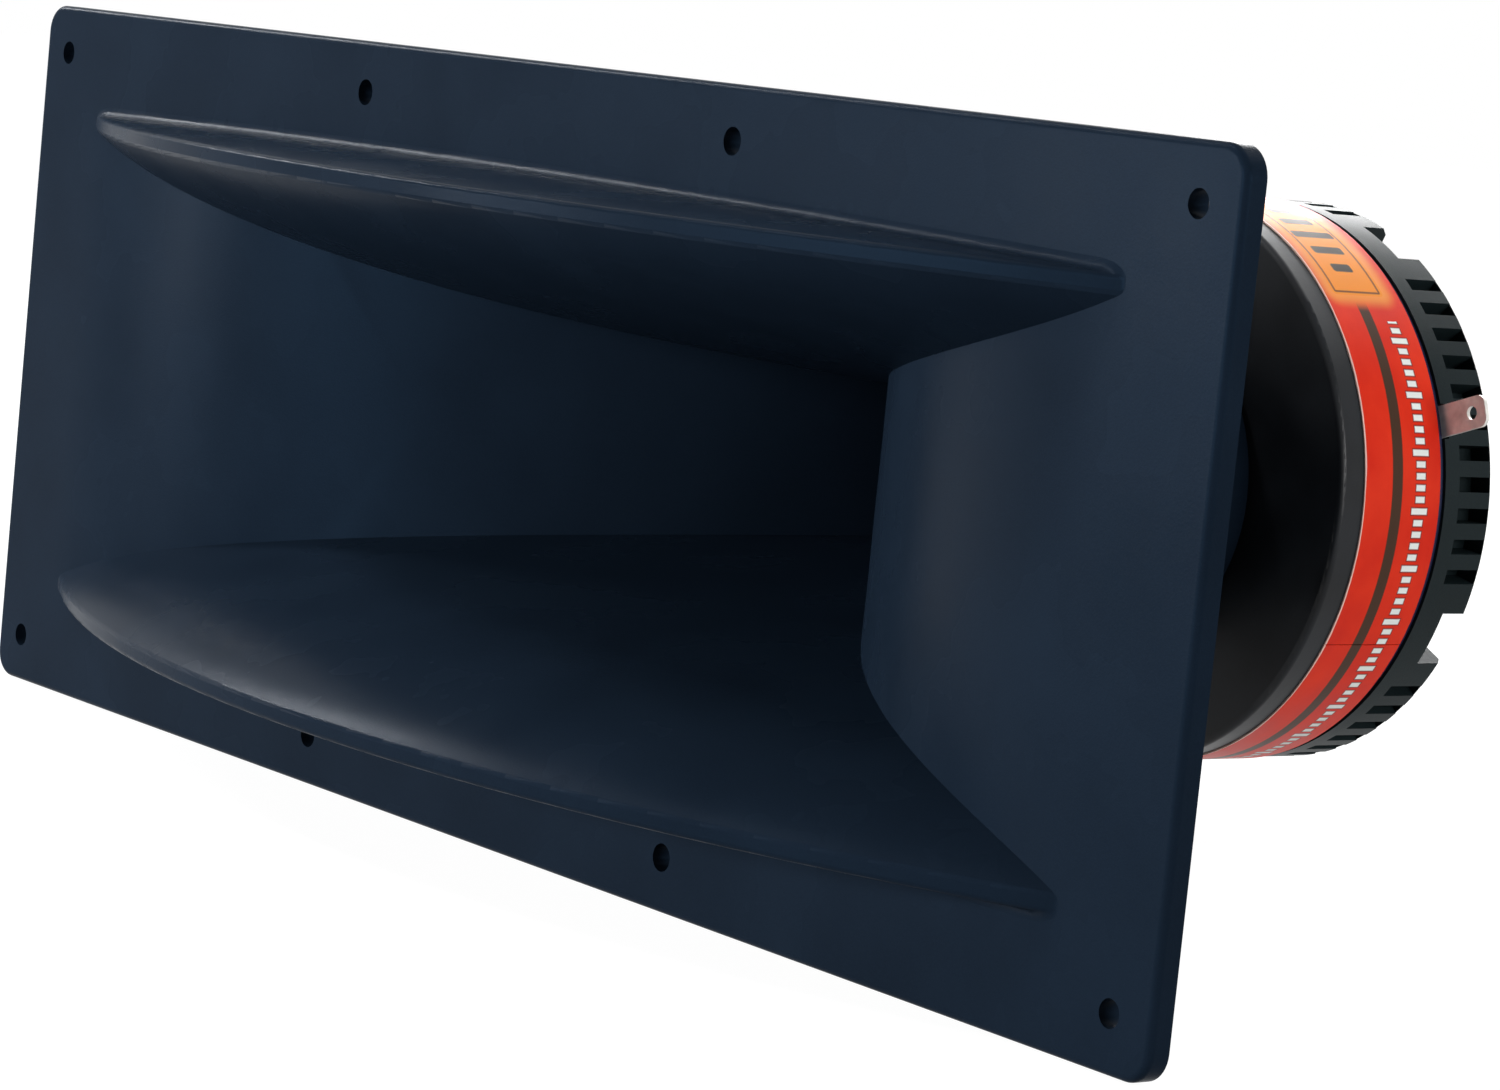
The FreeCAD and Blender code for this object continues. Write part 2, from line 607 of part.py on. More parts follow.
# ---------------------------------------------------------------- phase plug
def dome_radius():
    """Expression for the inner radius of the dome's sphere."""
    return "((%s ^ 2 + Sizes.dome_height ^ 2) / (2 * Sizes.dome_height))" % FORMER_R


def dome_centre():
    """Distance of the sphere's centre along the axis; the dome's rim is level with the cap."""
    return "(%s + Sizes.dome_height - %s)" % (CAP_Y, dome_radius())


def build_plug():
    """Phase plug: a seated disc whose face follows the dome, with two rings of slots."""
    seat_y = "(%s - Sizes.plug_seat_depth)" % CARRIER_Y
    spigot_r = "Sizes.plug_seat_diameter / 2 - Sizes.plug_clearance"
    spigot = on_axis(add("Part::Cylinder", "plug_spigot", Radius=spigot_r,
                         Height="2 * Sizes.plug_seat_depth"), seat_y)
    cover = on_axis(add("Part::Cylinder", "plug_cover", Radius=POLE_R + " - Sizes.plug_rim",
                        Height="2 * Sizes.plug_seat_depth"), CARRIER_Y)
    blank = joined("Part::Fuse", "plug_blank", Base=spigot, Tool=cover)
    ball = add("Part::Sphere", "plug_face", Radius=dome_radius() + " - Sizes.dome_air_gap")
    ball.setExpression("Placement.Base.y", dome_centre())
    shaped = joined("Part::Common", "plug_shaped", Base=blank, Tool=ball)
    cutters = []
    for ring in ("inner", "outer"):
        middle = "Sizes.plug_slot_%s / 2" % ring
        wide = on_axis(add("Part::Cylinder", "slot_wide_" + ring, Angle="120 - Sizes.plug_spoke_angle",
                           Radius=middle + " + Sizes.plug_slot_width / 2",
                           Height="4 * Sizes.plug_seat_depth"), seat_y)
        bore = on_axis(add("Part::Cylinder", "slot_bore_" + ring,
                           Radius=middle + " - Sizes.plug_slot_width / 2",
                           Height="4 * Sizes.plug_seat_depth"), seat_y)
        sector = joined("Part::Cut", "slot_" + ring, Base=wide, Tool=bore)
        doc.recompute()
        cutters.append(sector)
    slots = doc.addObject("Part::Feature", "plug_slots")
    turns = [sector.Shape.copy() for sector in cutters for _ in range(3)]
    for index, shape in enumerate(turns):
        shape.rotate(Vector(0, 0, 0), Vector(0, 1, 0), 120 * (index % 3))
    slots.Shape = Part.makeCompound(turns)
    plug = joined("Part::Cut", "phase_plug", Base=shaped, Tool=slots)
    plug.Label = "phase_plug"
    return plug


# ---------------------------------------------------------------- diaphragm assembly
def build_dome():
    inner = add("Part::Sphere", "dome_inside", Radius=dome_radius())
    outer = add("Part::Sphere", "dome_outside", Radius=dome_radius() + " + Sizes.dome_wall")
    for ball in (inner, outer):
        ball.setExpression("Placement.Base.y", dome_centre())
    skin = joined("Part::Cut", "dome_skin", Base=outer, Tool=inner)
    keep = on_axis(add("Part::Cylinder", "dome_range", Radius=FORMER_OUT,
                       Height="2 * Sizes.dome_height"), CAP_Y)
    dome = joined("Part::Common", "diaphragm_dome", Base=skin, Tool=keep)
    dome.Label = "diaphragm_dome"
    return dome


def build_former():
    """Thin tube from the dome's rim down to the far end of the winding."""
    length = "(%s - %s + Sizes.top_plate_thickness / 2 + Sizes.coil_length / 2)" % (CAP_Y, CARRIER_Y)
    body = new_body("coil_former", "%s - %s" % (CAP_Y, length))
    washer(body, "former_tube", FORMER_R, FORMER_OUT, length)
    return body


def build_coil():
    body = new_body("voice_coil", "%s + Sizes.top_plate_thickness / 2 - Sizes.coil_length / 2"
                    % PLATE_Y)
    washer(body, "winding", FORMER_OUT, COIL_OUT, cell("coil_length"))
    return body


def build_surround():
    """Half roll between the former and the carrier ring, drawn as a low trapezium."""
    body = new_body("surround", "%s - Sizes.surround_wall" % CAP_Y)
    skin = "Sizes.surround_wall"
    seat = "(%s + Sizes.surround_width)" % FORMER_OUT
    foot = "(%s + Sizes.surround_land)" % FORMER_OUT
    heel = "(%s - Sizes.carrier_seat - Sizes.surround_land)" % seat
    crest = "Sizes.surround_height"
    low, high = "(%s + Sizes.surround_slope)" % foot, "(%s - Sizes.surround_slope)" % heel
    shift = "Sizes.surround_wall / 2"
    turned(body, "surround_roll", [
        (FORMER_OUT, "0"), (foot, "0"), (low, crest), (high, crest), (heel, "0"), (seat, "0"),
        (seat, skin), (heel + " + " + shift, skin), (high + " + " + shift, crest + " + " + skin),
        (low + " - " + shift, crest + " + " + skin), (foot + " - " + shift, skin),
        (FORMER_OUT, skin)])
    return body


def build_carrier():
    """Ring that carries the surround and the terminals, clamped by the cap."""
    body = new_body("carrier_ring", CARRIER_Y)
    outer = "%s - Sizes.carrier_ring_inset" % DRIVER_R
    thick = cell("carrier_ring_thickness")
    shelf = "%s - Sizes.surround_wall" % thick
    turned(body, "carrier_blank", [
        (CARRIER_BORE, "0"), (outer, "0"), (outer, thick), (SURROUND_OUT, thick),
        (SURROUND_OUT, shelf), (CARRIER_BORE, shelf)])
    clear = "Sizes.cap_screw_diameter + Sizes.screw_clearance"
    circles = [angled(SCREW_R, angle) + (clear,) for angle in screw_places()]
    circles += [angled(PIN_R, angle) + (cell("pin_diameter"),) for angle in pin_places()]
    circles += [angled(rivet_radius(), angle) + (cell("rivet_diameter"),)
                for angle in terminal_places()]
    bored(body, "carrier_holes", circles)
    return body


def terminal_places():
    return ["(Sizes.terminal_angle + %d)" % turn for turn in (0, 180)]


def rivet_radius():
    return "(Sizes.tab_inner_radius + Sizes.rivet_inset)"


def build_terminal(label, angle):
    """Flat solder tab with a round end, standing out between the magnet and the cap."""
    body = new_body(label, CAP_Y)
    sketch = new_sketch(body, label + "_outline", "XZ_Plane")
    outline(sketch, [("Sizes.tab_inner_radius", HALF_TAB), (TAB_END, HALF_TAB),
                     (TAB_END, "-" + HALF_TAB), ("Sizes.tab_inner_radius", "-" + HALF_TAB)])
    pad = body.newObject("PartDesign::Pad", label + "_blank")
    pad.Profile = sketch
    pad.Reversed = True
    pad.setExpression("Length", cell("tab_thickness"))
    doc.recompute()
    tips = ["Edge%d" % (index + 1) for index, edge in enumerate(pad.Shape.Edges)
            if edge.BoundBox.XMin > number(TAB_END) - 1e-3 and edge.BoundBox.ZLength < 1e-3]
    tip = body.newObject("PartDesign::Fillet", label + "_end")
    tip.Base = (pad, tips)
    tip.setExpression("Radius", "Sizes.tab_width * 0.3")
    doc.recompute()
    bored(body, label + "_holes", [
        ("%s - Sizes.tab_hole_edge" % TAB_END, "0", cell("tab_hole_diameter")),
        (rivet_radius(), "0", cell("rivet_diameter"))])
    body.Placement = Placement(Vector(0, 0, 0), Rotation(Vector(0, 1, 0), -number(angle)))
    body.setExpression("Placement.Base.y", CAP_Y)
    return body


def grouped(label, shapes):
    """One part made of separate, identical solids."""
    group = doc.addObject("Part::Feature", label)
    group.Label = label
    group.Shape = Part.makeCompound(shapes)
    return group


def placed_copies(item, radius, angles):
    """Copies of a shape on the axis, moved out to a radius at each angle."""
    copies = []
    for angle in angles:
        shape = item.Shape.copy()
        shape.translate(Vector(number(radius), 0, 0))
        shape.rotate(Vector(0, 0, 0), Vector(0, 1, 0), -number(angle))
        copies.append(shape)
    return copies


def build_rivets():
    """Headed rivets that hold each tab to the carrier ring."""
    body = new_body("rivet", CARRIER_Y)
    stem = "Sizes.rivet_diameter / 2"
    head = "Sizes.rivet_head / 2"
    top = "(Sizes.carrier_ring_thickness + Sizes.tab_thickness)"
    turned(body, "rivet_shape", [("0", "0"), (stem, "0"), (stem, top), (head, top),
                                 (head, top + " + Sizes.rivet_head_height"),
                                 ("0", top + " + Sizes.rivet_head_height")])
    return grouped("terminal_rivets", placed_copies(body, rivet_radius(), terminal_places()))


def build_pins():
    body = new_body("pin", "%s - Sizes.pin_length + Sizes.carrier_ring_thickness" % CARRIER_Y)
    turned(body, "pin_shape", [("0", "0"), ("Sizes.pin_diameter / 2", "0"),
                               ("Sizes.pin_diameter / 2", cell("pin_length")),
                               ("0", cell("pin_length"))])
    return grouped("locating_pins", placed_copies(body, PIN_R, pin_places()))


def build_leads():
    """Flat leads that bridge from the former's rim over the surround to each tab."""
    width = number(cell("lead_width"))
    thick = number(cell("lead_thickness"))
    gap = number(cell("lead_gap"))
    start = number(FORMER_OUT) - thick
    seat = number("Sizes.tab_inner_radius")
    level = number(CAP_Y)
    tab_top = level + number(cell("tab_thickness"))
    crown = level + number(cell("surround_height")) + number(cell("lead_rise"))
    foot = seat + number(cell("lead_foot"))
    strip = [(start, level + gap), (start, crown + thick), (seat, crown + thick),
             (seat, tab_top + thick), (foot, tab_top + thick), (foot, tab_top),
             (seat - thick, tab_top), (seat - thick, crown), (start + thick, crown),
             (start + thick, level + gap), (start, level + gap)]
    points = [Vector(radius, along, -width / 2) for radius, along in strip]
    shape = Part.Face(Part.makePolygon(points)).extrude(Vector(0, 0, width))
    copies = []
    for angle in terminal_places():
        lead = shape.copy()
        lead.rotate(Vector(0, 0, 0), Vector(0, 1, 0), -number(angle))
        copies.append(lead)
    return grouped("coil_leads", copies)


# ---------------------------------------------------------------- rear cap
def build_cap():
    body = new_body("rear_cap", CAP_Y)
    depth = cell("cap_depth")
    floor = "%s - Sizes.cap_wall" % depth
    edge = cell("cap_edge_radius")
    turned(body, "cap_cup", [
        (CAVITY_R, "0"), (DRIVER_R, "0"), (DRIVER_R, "%s - %s" % (depth, edge)),
        ("%s - %s" % (DRIVER_R, edge), depth), ("0", depth), ("0", floor), (CAVITY_R, floor)])
    slot = new_sketch(body, "fin_slot_outline", "XZ_Plane")
    slot.setExpression("AttachmentOffset.Base.z", "-Sizes.fin_slot_start")
    half = "Sizes.fin_slot_width / 2"
    inner = "(%s - Sizes.fin_slot_depth)" % DRIVER_R
    outline(slot, [(inner, half), (OUTSIDE, half), (OUTSIDE, "-" + half), (inner, "-" + half)])
    cut = body.newObject("PartDesign::Pocket", "fin_slot")
    cut.Profile = slot
    cut.setExpression("Length", "Sizes.cap_depth - Sizes.fin_slot_start - Sizes.fin_end_wall")
    doc.recompute()
    spread = body.newObject("PartDesign::MultiTransform", "fin_slots")
    spread.Originals = [cut]
    doc.recompute()
    steps = []
    count = int(number(cell("fins_per_group")))
    for name, angle, occurrences in (
            ("fin_row", "(Sizes.fins_per_group - 1) * Sizes.fin_pitch", count),
            ("fin_group", "360", int(number(cell("fin_groups"))))):
        step = body.newObject("PartDesign::PolarPattern", name)
        step.Axis = (origin_item(body, "Y_Axis"), [""])
        step.setExpression("Angle", angle)
        step.Occurrences = occurrences
        step.Reversed = True
        steps.append(step)
    spread.Transformations = steps
    body.Tip = spread
    doc.recompute()
    before = body.Shape.Volume
    pocket = new_sketch(body, "screw_pocket_outline", "XZ_Plane")
    pocket.setExpression("AttachmentOffset.Base.z", "-Sizes.pocket_floor")
    for angle in pocket_turns():
        tilted_box(pocket, "(%s - Sizes.pocket_depth)" % DRIVER_R, OUTSIDE,
                   "Sizes.pocket_width / 2", angle)
    lowered = body.newObject("PartDesign::Pocket", "screw_pockets")
    lowered.Profile = pocket
    lowered.Type = "ThroughAll"
    doc.recompute()
    assert lowered.Shape.Volume < before - 10, "the screw pockets cut nothing"
    clear = "Sizes.cap_screw_diameter + Sizes.screw_clearance"
    bored(body, "screw_holes", [angled(SCREW_R, angle) + (clear,) for angle in pocket_turns()])
    relief = new_sketch(body, "tab_relief_outline", "XZ_Plane")
    for angle in ("(%s)" % half_row(), "(%s + 180)" % half_row()):
        tilted_box(relief, "(%s - Sizes.tab_thickness)" % CAVITY_R, OUTSIDE,
                   "(%s + Sizes.tab_slot_clearance)" % HALF_TAB, angle)
    eased = body.newObject("PartDesign::Pocket", "tab_reliefs")
    eased.Profile = relief
    eased.setExpression("Length", "Sizes.tab_thickness + Sizes.tab_slot_clearance")
    doc.recompute()
    assert eased.Shape.Volume < lowered.Shape.Volume, "the tab reliefs cut nothing"
    turn = number(cell("terminal_angle")) - number(half_row())
    body.Placement = Placement(Vector(0, 0, 0), Rotation(Vector(0, 1, 0), -turn))
    body.setExpression("Placement.Base.y", CAP_Y)
    return body


def half_row():
    """Angle from the first slot of a group to the group's middle."""
    return "(Sizes.fins_per_group - 1) * Sizes.fin_pitch / 2"


def pocket_turns():
    """Angles of the screw pockets, counted from the first slot."""
    groups = int(number(cell("fin_groups")))
    return ["(%s + (%d + 0.5) * %s)" % (half_row(), index, FIN_GROUP_STEP)
            for index in range(groups)]


def tilted_box(sketch, near, far, half, angle):
    """Rectangle pointing outwards from the axis at an angle."""
    corners = []
    for reach, side in ((near, ""), (far, ""), (far, "-"), (near, "-")):
        across = "%s * cos(%s * 1deg) - %s(%s) * sin(%s * 1deg)" % (reach, angle, side, half, angle)
        up = "%s * sin(%s * 1deg) + %s(%s) * cos(%s * 1deg)" % (reach, angle, side, half, angle)
        corners.append((across, up))
    outline(sketch, corners)


def build_foam():
    body = new_body("absorber_pad", "%s + Sizes.cap_depth - Sizes.cap_wall - Sizes.foam_thickness"
                    % CAP_Y)
    turned(body, "foam_disc", [("0", "0"), ("Sizes.foam_diameter / 2", "0"),
                               ("Sizes.foam_diameter / 2", cell("foam_thickness")),
                               ("0", cell("foam_thickness"))])
    return body


def build_cap_screws():
    """Cross-drive screws that clamp the cap and the carrier ring to the top plate."""
    grip = "(Sizes.cap_screw_grip + Sizes.carrier_ring_thickness + Sizes.pocket_floor)"
    body = new_body("cap_screw", "%s - Sizes.cap_screw_grip" % CARRIER_Y)
    stem = "Sizes.cap_screw_diameter / 2"
    head = "Sizes.cap_screw_head / 2"
    crown = "%s + Sizes.cap_screw_head_height" % grip
    turned(body, "screw_shape", [("0", "0"), (stem, "0"), (stem, grip), (head, grip),
                                 (head, "%s - Sizes.cap_screw_head_height / 2" % crown),
                                 (head + " - Sizes.cap_screw_head_height / 2", crown),
                                 ("0", crown)])
    drive = new_sketch(body, "drive_outline", "XZ_Plane")
    drive.setExpression("AttachmentOffset.Base.z", "-(%s - Sizes.screw_drive_depth)" % crown)
    arm, half = "Sizes.screw_drive_length / 2", "Sizes.screw_drive_width / 2"
    outline(drive, [(arm, half), (half, half), (half, arm), ("-" + half, arm),
                    ("-" + half, half), ("-" + arm, half), ("-" + arm, "-" + half),
                    ("-" + half, "-" + half), ("-" + half, "-" + arm), (half, "-" + arm),
                    (half, "-" + half), (arm, "-" + half)])
    before = body.Shape.Volume
    cut = body.newObject("PartDesign::Pocket", "drive")
    cut.Profile = drive
    cut.Type = "ThroughAll"
    doc.recompute()
    assert cut.Shape.Volume < before, "the drive cuts nothing"
    return grouped("cap_screws", placed_copies(body, SCREW_R, screw_places()))


# ---------------------------------------------------------------- build, check, write
def build_all():
    parts = [build_horn(), build_snout(), build_gasket(), build_screen(), build_back_plate(),
             build_pole(), build_magnet(), build_top_plate(), build_label(), build_plug(),
             build_dome(), build_former(), build_coil(), build_surround(), build_carrier()]
    for label, angle in zip(("terminal_right", "terminal_left"), terminal_places()):
        parts.append(build_terminal(label, angle))
    parts += [build_rivets(), build_pins(), build_leads(), build_cap(), build_foam(),
              build_cap_screws()]
    return parts


def check_and_write(parts):
    doc.recompute()
    for item in doc.Objects:
        faults = [state for state in item.State if state in ("Invalid", "Error")]
        assert not faults, "%s: %s" % (item.Name, faults)
    for item in parts:
        assert not item.Shape.isNull(), item.Label + " is empty"
        assert item.Shape.isValid(), item.Label + " is not valid"
        assert item.Shape.Solids, item.Label + " holds no solid"
    for item in parts:
        item.Shape.exportStep("parts/%s.step" % item.Label)
        print(item.Label, len(item.Shape.Solids), round(item.Shape.Volume, 1))


check_and_write(build_all())
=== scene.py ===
import json
import math

import bpy
from mathutils import Euler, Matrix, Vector


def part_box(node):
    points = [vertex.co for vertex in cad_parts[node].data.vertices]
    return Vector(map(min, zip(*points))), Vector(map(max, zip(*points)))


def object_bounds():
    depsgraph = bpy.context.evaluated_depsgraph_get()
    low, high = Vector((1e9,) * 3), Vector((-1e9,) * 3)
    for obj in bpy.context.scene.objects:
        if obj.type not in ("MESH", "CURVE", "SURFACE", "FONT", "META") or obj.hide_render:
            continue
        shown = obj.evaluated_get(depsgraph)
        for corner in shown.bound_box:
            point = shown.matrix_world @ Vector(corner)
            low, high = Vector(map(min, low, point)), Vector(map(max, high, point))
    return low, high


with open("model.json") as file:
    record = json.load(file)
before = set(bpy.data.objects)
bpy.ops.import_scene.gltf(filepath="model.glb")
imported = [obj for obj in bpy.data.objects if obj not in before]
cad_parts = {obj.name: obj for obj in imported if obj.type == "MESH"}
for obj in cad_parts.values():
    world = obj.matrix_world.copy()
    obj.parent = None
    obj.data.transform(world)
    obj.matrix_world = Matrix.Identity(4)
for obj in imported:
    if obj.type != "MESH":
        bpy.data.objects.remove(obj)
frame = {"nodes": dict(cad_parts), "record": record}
cad_low, cad_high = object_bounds()

MM = 0.001

# ------------------------------------------------------------------ sizes read from the frame
band_low, band_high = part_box("label_band")
BAND_FRONT, BAND_WIDTH = band_low.y, band_high.y - band_low.y
BAND_RADIUS = band_high.x

# ------------------------------------------------------------------ what is printed on the band
INK_BLUR = 0.12 * MM                # half the width of a printed edge
STRIPE_ACROSS = 0.43 * BAND_WIDTH
STRIPE_HALF = 1.15 * MM
STRIPE_FADE = (1.2 * MM, 3.4 * MM)  # from the badge: no stripe yet, whole stripe

BADGE_ALONG = math.radians(64) * BAND_RADIUS
BADGE_ACROSS = 0.465 * BAND_WIDTH
BADGE_HALF_LENGTH = 15.2 * MM
BADGE_HALF_WIDTH = 0.335 * BAND_WIDTH
BADGE_CORNER = 0.9 * MM
BADGE_GLOW = 3.2 * MM
RIM_INSET, RIM_HALF = 0.7 * MM, 0.2 * MM
BAR_PITCH = 4.5 * MM
BAR_HALF_LENGTH, BAR_CORNER = 0.95 * MM, 0.5 * MM
BAR_HALF_WIDTHS = [share * BAND_WIDTH for share in (0.128, 0.2, 0.264, 0.2, 0.128)]

TICK_PITCH = 1.9 * MM
TICK_ACROSS = 0.74 * BAND_WIDTH
TICK_HALF = 0.5 * MM
TICK_SHORT, TICK_TALL = 1.0 * MM, 1.75 * MM
TICK_SHADE = 0.2 * MM
TICKS_PER_TALL = 5
TICKS_CLEAR_OF_BADGE = 5 * MM
MARGIN = (0.45 * MM, 0.6 * MM)      # from the front edge: all paper, all print

# ------------------------------------------------------------------ how the surfaces reflect
# Each index is set below that of the real surface, about 1.5, which keeps the white studio from
# greying the dark finishes.
HORN_INDEX, CAP_INDEX, PAINT_INDEX, LABEL_INDEX = 1.05, 1.12, 1.2, 1.15

# ------------------------------------------------------------------ studio and camera
FLOOR_SIZE, FLOOR_GAP = 12.0, 0.2 * MM
FLOOR_GREY = 0.35                   # what the floor gives back to the object
FLOOR_GLOW, FLOOR_GLOW_SHARE = 1.6, 0.6
ROOM_LIGHT = 0.03                   # the world's light on the object
DRIVER = (0, 0.14, 0)
CAMERA_PLACE = (0.56396, -0.38953, 0.06711)
CAMERA_TURN = (83.556, -5.704, 53.087)
FOCAL_LENGTH, SENSOR_WIDTH = 109.6, 36.0


# ------------------------------------------------------------------ material nodes
def tint(red, green, blue):
    """Linear colour of an 8-bit sRGB colour."""
    def linear(v):
        v /= 255
        return v / 12.92 if v <= 0.04045 else ((v + 0.055) / 1.055) ** 2.4
    return (linear(red), linear(green), linear(blue), 1.0)


class Finish:
    """A Principled material whose pattern nodes read object coordinates, in metres."""

    def __init__(self, name, colour, roughness, metallic=0.0, specular=0.5, **sockets):
        self.material = bpy.data.materials.new(name)
        self.material.use_nodes = True
        self.tree = self.material.node_tree
        self.shader = self.tree.nodes["Principled BSDF"]
        settings = {"Base Color": colour, "Roughness": roughness, "Metallic": metallic,
                    "Specular IOR Level": specular}
        settings.update({key.replace("_", " "): value for key, value in sockets.items()})
        for socket, value in settings.items():
            self.shader.inputs[socket].default_value = value
        self.place = self.node("ShaderNodeTexCoord").outputs["Object"]

    def node(self, kind, **attributes):
        made = self.tree.nodes.new(kind)
        for key, value in attributes.items():
            setattr(made, key, value)
        return made

    def feed(self, socket, value):
        """Links a socket to an output, or sets it to a plain value."""
        if isinstance(value, bpy.types.NodeSocket):
            self.tree.links.new(value, socket)
        else:
            socket.default_value = value

    def math(self, operation, *values):
        made = self.node("ShaderNodeMath", operation=operation)
        for socket, value in zip(made.inputs, values):
            self.feed(socket, value)
        return made.outputs[0]

    def from_middle(self, value, middle):
        """Distance of value from middle, on either side."""
        return self.math("ABSOLUTE", self.math("SUBTRACT", value, middle))

    def split(self):
        """The object coordinates as three outputs."""
        made = self.node("ShaderNodeSeparateXYZ")
        self.feed(made.inputs[0], self.place)
        return made.outputs

    def noise(self, size, detail=2.0, roughness=0.5, stretch=None):
        """Noise from 0 to 1 whose features are about size metres across."""
        made = self.node("ShaderNodeTexNoise")
        place = self.place
        if stretch:
            scaled = self.node("ShaderNodeMapping")
            self.feed(scaled.inputs["Vector"], place)
            scaled.inputs["Scale"].default_value = stretch
            place = scaled.outputs[0]
        self.feed(made.inputs["Vector"], place)
        made.inputs["Scale"].default_value = 1 / size
        made.inputs["Detail"].default_value = detail
        made.inputs["Roughness"].default_value = roughness
        return made.outputs[0]

    def spread(self, value, low, high, to_low=0.0, to_high=1.0, smooth=False):
        """Maps value from low..high to to_low..to_high, clamped."""
        made = self.node("ShaderNodeMapRange",
                         interpolation_type="SMOOTHSTEP" if smooth else "LINEAR")
        for socket, entry in zip(made.inputs, (value, low, high, to_low, to_high)):
            self.feed(socket, entry)
        return made.outputs[0]

    def inked(self, distance, edge=0.0):
        """1 where distance is under edge and 0 beyond it, with a soft printed edge."""
        return self.spread(distance, edge - INK_BLUR, edge + INK_BLUR, 1.0, 0.0, smooth=True)

    def mix(self, factor, first, second):
        made = self.node("ShaderNodeMix", data_type="RGBA")
        for index, value in ((0, factor), (6, first), (7, second)):
            self.feed(made.inputs[index], value)
        return made.outputs[2]

    def paint(self, colour):
        self.feed(self.shader.inputs["Base Color"], colour)

    def gloss(self, value):
        self.feed(self.shader.inputs["Roughness"], value)

    def bump(self, *layers):
        """Adds relief: each layer is (height output, depth in metres)."""
        last = None
        for height, depth in layers:
            made = self.node("ShaderNodeBump")
            made.inputs["Distance"].default_value = depth
            self.feed(made.inputs["Height"], height)
            if last:
                self.feed(made.inputs["Normal"], last)
            last = made.outputs[0]
        self.feed(self.shader.inputs["Normal"], last)


def moulded(name, dark, light, roughness, grain, depth, specular=0.3, **sockets):
    """Moulded plastic: a fine grain, a faint mottle, and a gloss that varies a little."""
    finish = Finish(name, dark, roughness, specular=specular, **sockets)
    speck = finish.noise(grain, 3.0, 0.6)
    mottle = finish.noise(22 * MM, 3.0)
    finish.paint(finish.mix(finish.spread(finish.math("ADD", speck, mottle), 0.5, 1.5), dark, light))
    finish.gloss(finish.spread(mottle, 0.3, 0.7, roughness - 0.05, roughness + 0.05))
    finish.bump((speck, depth), (mottle, depth))
    return finish.material


def painted(name, dark, light, roughness, peel):
    """Sprayed satin paint: a shallow orange peel."""
    finish = Finish(name, dark, roughness, specular=0.8, IOR=PAINT_INDEX)
    skin = finish.noise(peel, 2.0)
    patch = finish.noise(14 * MM, 3.0)
    finish.paint(finish.mix(finish.spread(patch, 0.35, 0.65), dark, light))
    finish.gloss(finish.spread(patch, 0.3, 0.7, roughness - 0.04, roughness + 0.06))
    finish.bump((skin, 0.012 * MM))
    return finish.material


def metal(name, dark, light, roughness, scratch, stretch=None, metallic=1.0):
    """Bare metal with fine drawn or turned lines and a mottled tarnish."""
    finish = Finish(name, light, roughness, metallic=metallic)
    lines = finish.noise(scratch, 3.0, 0.6, stretch)
    tarnish = finish.noise(3 * MM, 4.0)
    finish.paint(finish.mix(finish.spread(tarnish, 0.35, 0.7), dark, light))
    finish.gloss(finish.spread(lines, 0.3, 0.7, roughness - 0.08, roughness + 0.10))
    finish.bump((lines, 0.01 * MM))
    return finish.material


# ------------------------------------------------------------------ the printed band
def rounded_box(finish, along, across, middle, half_length, half_width, corner):
    """Signed distance from a rounded rectangle about middle, a pair of places along and across."""
    over_length = finish.math("SUBTRACT", finish.from_middle(along, middle[0]), half_length - corner)
    over_width = finish.math("SUBTRACT", finish.from_middle(across, middle[1]), half_width - corner)
    out_length = finish.math("MAXIMUM", over_length, 0.0)
    out_width = finish.math("MAXIMUM", over_width, 0.0)
    squares = finish.math("ADD", finish.math("MULTIPLY", out_length, out_length),
                          finish.math("MULTIPLY", out_width, out_width))
    inside = finish.math("MINIMUM", finish.math("MAXIMUM", over_length, over_width), 0.0)
    return finish.math("SUBTRACT", finish.math("ADD", finish.math("SQRT", squares), inside), corner)


def add_stripe(finish, colour, across, badge):
    """A dark stripe all along the band, which fades out at the badge."""
    stripe = finish.inked(finish.from_middle(across, STRIPE_ACROSS), STRIPE_HALF)
    clear = finish.spread(badge, *STRIPE_FADE, smooth=True)
    return finish.mix(finish.math("MULTIPLY", stripe, clear), colour, tint(66, 44, 30))


def add_ticks(finish, colour, arc, across, badge):
    """A row of white graduation marks with a dark shade, some of them taller."""
    in_one = finish.math("FLOORED_MODULO", arc, TICK_PITCH)
    in_group = finish.math("FLOORED_MODULO", arc, TICKS_PER_TALL * TICK_PITCH)
    tall = finish.math("LESS_THAN", finish.from_middle(in_group, TICK_PITCH / 2), TICK_PITCH / 2)
    reach = finish.spread(tall, 0.0, 1.0, TICK_SHORT, TICK_TALL)
    tick = finish.math("MAXIMUM",
                       finish.math("SUBTRACT", finish.from_middle(across, TICK_ACROSS), reach),
                       finish.math("SUBTRACT", finish.from_middle(in_one, TICK_PITCH / 2), TICK_HALF))
    clear = finish.math("GREATER_THAN", badge, TICKS_CLEAR_OF_BADGE)
    for edge, ink in ((TICK_SHADE, tint(120, 30, 22)), (0.0, tint(240, 244, 240))):
        colour = finish.mix(finish.math("MULTIPLY", finish.inked(tick, edge), clear), colour, ink)
    return colour


